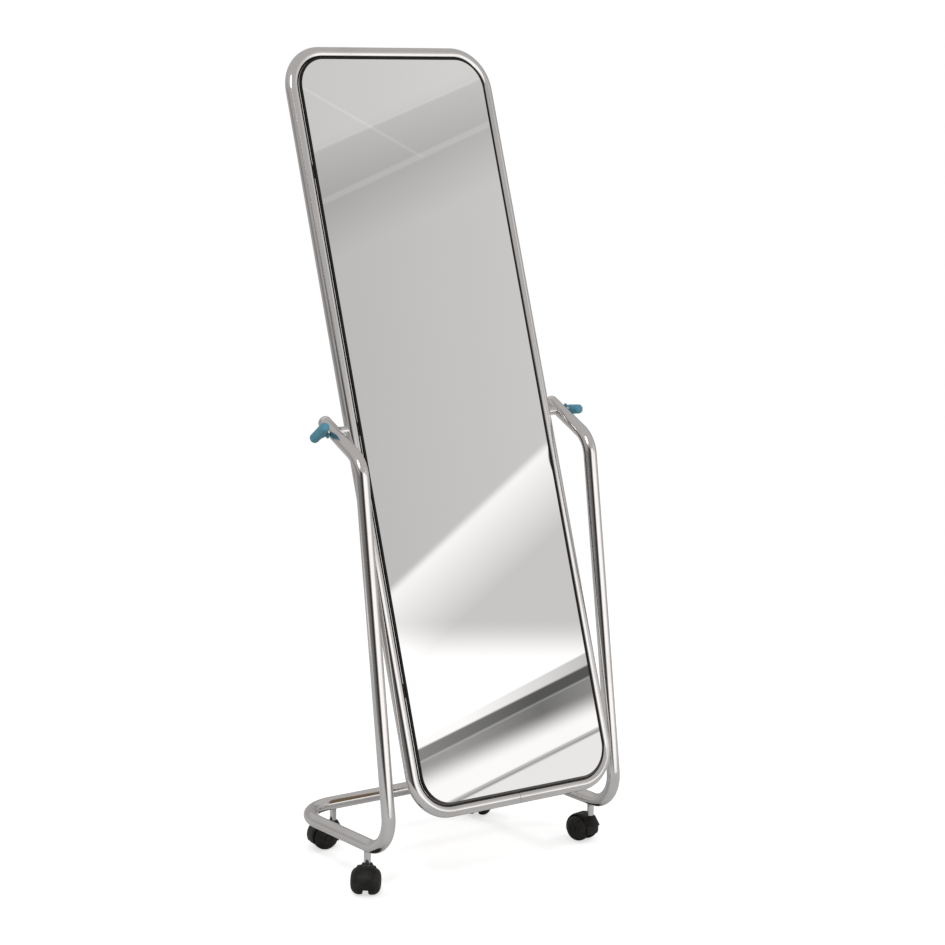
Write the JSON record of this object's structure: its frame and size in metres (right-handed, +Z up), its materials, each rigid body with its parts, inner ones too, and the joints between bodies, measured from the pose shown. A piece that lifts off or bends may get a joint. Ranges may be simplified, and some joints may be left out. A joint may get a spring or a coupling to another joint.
{
  "type": "rolling floor mirror",
  "caption": "Long floor mirror in a bent chrome tube loop that tilts in a bent tube stand on twin-wheel casters, held by teal clamp knobs.",
  "frame": {"origin": "on the floor under the middle of the tilt axis, which is also the middle of the bounding box's underside", "axes": "+Z up, +Y towards the back of the stand, +X to the right seen from the front; the mirror faces -Y"},
  "size_m": [0.602, 0.4724, 1.5081],
  "materials": {
    "chrome": "polished",
    "steel": "zinc plated",
    "mirror": "silvered float glass",
    "rubber": "matte",
    "board": "hardboard",
    "knob": "satin moulded",
    "hood": "moulded",
    "wheel": "moulded"
  },
  "bodies": {
    "stand": {"stand_tube": "chrome", "arm_caps": "chrome", "arm_bushes": "steel", "stem_bushes": "steel", "caster_stems": "chrome"},
    "mirror": {"loop_tube": "chrome", "loop_sleeve": "steel", "loop_screws": "steel", "mirror_glass": "mirror", "rubber_edge": "rubber", "backing_board": "board", "panel_lugs": "steel", "panel_screws": "steel", "loop_bushes": "steel", "pivot_studs": "steel", "pivot_spacers": "chrome"},
    "washer_left_body": {"washer_left": "chrome"},
    "washer_right_body": {"washer_right": "chrome"},
    "knob_left_body": {"knob_left": "knob", "knob_insert_left": "steel"},
    "knob_right_body": {"knob_right": "knob", "knob_insert_right": "steel"},
    "hood_front_left_body": {"hood_front_left": "hood", "axle_front_left": "steel"},
    "wheel_front_left_a_body": {"wheel_front_left_a": "wheel"},
    "wheel_front_left_b_body": {"wheel_front_left_b": "wheel"},
    "hood_front_right_body": {"hood_front_right": "hood", "axle_front_right": "steel"},
    "wheel_front_right_a_body": {"wheel_front_right_a": "wheel"},
    "wheel_front_right_b_body": {"wheel_front_right_b": "wheel"},
    "hood_rear_left_body": {"hood_rear_left": "hood", "axle_rear_left": "steel"},
    "wheel_rear_left_a_body": {"wheel_rear_left_a": "wheel"},
    "wheel_rear_left_b_body": {"wheel_rear_left_b": "wheel"},
    "hood_rear_right_body": {"hood_rear_right": "hood", "axle_rear_right": "steel"},
    "wheel_rear_right_a_body": {"wheel_rear_right_a": "wheel"},
    "wheel_rear_right_b_body": {"wheel_rear_right_b": "wheel"}
  },
  "joints": [
    {"name": "mirror_tilt", "type": "hinge", "parent": "stand", "child": "mirror", "pos_m": [0, 0, 0.827], "axis": [1, 0, 0], "continuous": true},
    {"name": "clamp_left_back_off", "type": "slide", "parent": "mirror", "child": "washer_left_body", "axis": [-1, 0, 0], "range_m": [0, 0.00249]},
    {"name": "clamp_left_turn", "type": "hinge", "parent": "washer_left_body", "child": "knob_left_body", "pos_m": [0, 0, 0.827], "axis": [-1, 0, 0], "range_deg": [0, 720]},
    {"name": "clamp_right_back_off", "type": "slide", "parent": "mirror", "child": "washer_right_body", "axis": [1, 0, 0], "range_m": [0, 0.00249]},
    {"name": "clamp_right_turn", "type": "hinge", "parent": "washer_right_body", "child": "knob_right_body", "pos_m": [0, 0, 0.827], "axis": [1, 0, 0], "range_deg": [0, 720]},
    {"name": "swivel_front_left", "type": "hinge", "parent": "stand", "child": "hood_front_left_body", "pos_m": [-0.26, -0.12, 0.05], "axis": [0, 0, 1], "continuous": true},
    {"name": "roll_front_left_a", "type": "hinge", "parent": "hood_front_left_body", "child": "wheel_front_left_a_body", "pos_m": [-0.27312, -0.13509, 0.025], "axis": [0.7547, -0.6561, 0], "continuous": true},
    {"name": "roll_front_left_b", "type": "hinge", "parent": "hood_front_left_body", "child": "wheel_front_left_b_body", "pos_m": [-0.27312, -0.13509, 0.025], "axis": [0.7547, -0.6561, 0], "continuous": true},
    {"name": "swivel_front_right", "type": "hinge", "parent": "stand", "child": "hood_front_right_body", "pos_m": [0.26, -0.12, 0.05], "axis": [0, 0, 1], "continuous": true},
    {"name": "roll_front_right_a", "type": "hinge", "parent": "hood_front_right_body", "child": "wheel_front_right_a_body", "pos_m": [0.25653, -0.1003, 0.025], "axis": [-0.9848, -0.1736, 0], "continuous": true},
    {"name": "roll_front_right_b", "type": "hinge", "parent": "hood_front_right_body", "child": "wheel_front_right_b_body", "pos_m": [0.25653, -0.1003, 0.025], "axis": [-0.9848, -0.1736, 0], "continuous": true},
    {"name": "swivel_rear_left", "type": "hinge", "parent": "stand", "child": "hood_rear_left_body", "pos_m": [-0.169, 0.131, 0.05], "axis": [0, 0, 1], "continuous": true},
    {"name": "roll_rear_left_a", "type": "hinge", "parent": "hood_rear_left_body", "child": "wheel_rear_left_a_body", "pos_m": [-0.18856, 0.13516, 0.025], "axis": [-0.2079, -0.9781, 0], "continuous": true},
    {"name": "roll_rear_left_b", "type": "hinge", "parent": "hood_rear_left_body", "child": "wheel_rear_left_b_body", "pos_m": [-0.18856, 0.13516, 0.025], "axis": [-0.2079, -0.9781, 0], "continuous": true},
    {"name": "swivel_rear_right", "type": "hinge", "parent": "stand", "child": "hood_rear_right_body", "pos_m": [0.169, 0.131, 0.05], "axis": [0, 0, 1], "continuous": true},
    {"name": "roll_rear_right_a", "type": "hinge", "parent": "hood_rear_right_body", "child": "wheel_rear_right_a_body", "pos_m": [0.18432, 0.14386, 0.025], "axis": [-0.6428, 0.766, 0], "continuous": true},
    {"name": "roll_rear_right_b", "type": "hinge", "parent": "hood_rear_right_body", "child": "wheel_rear_right_b_body", "pos_m": [0.18432, 0.14386, 0.025], "axis": [-0.6428, 0.766, 0], "continuous": true}
  ],
  "couplings": [
    {"joint": "clamp_left_turn", "follows": "clamp_left_back_off", "rad_per_m": 5026.5},
    {"joint": "clamp_right_turn", "follows": "clamp_right_back_off", "rad_per_m": 5026.5}
  ]
}
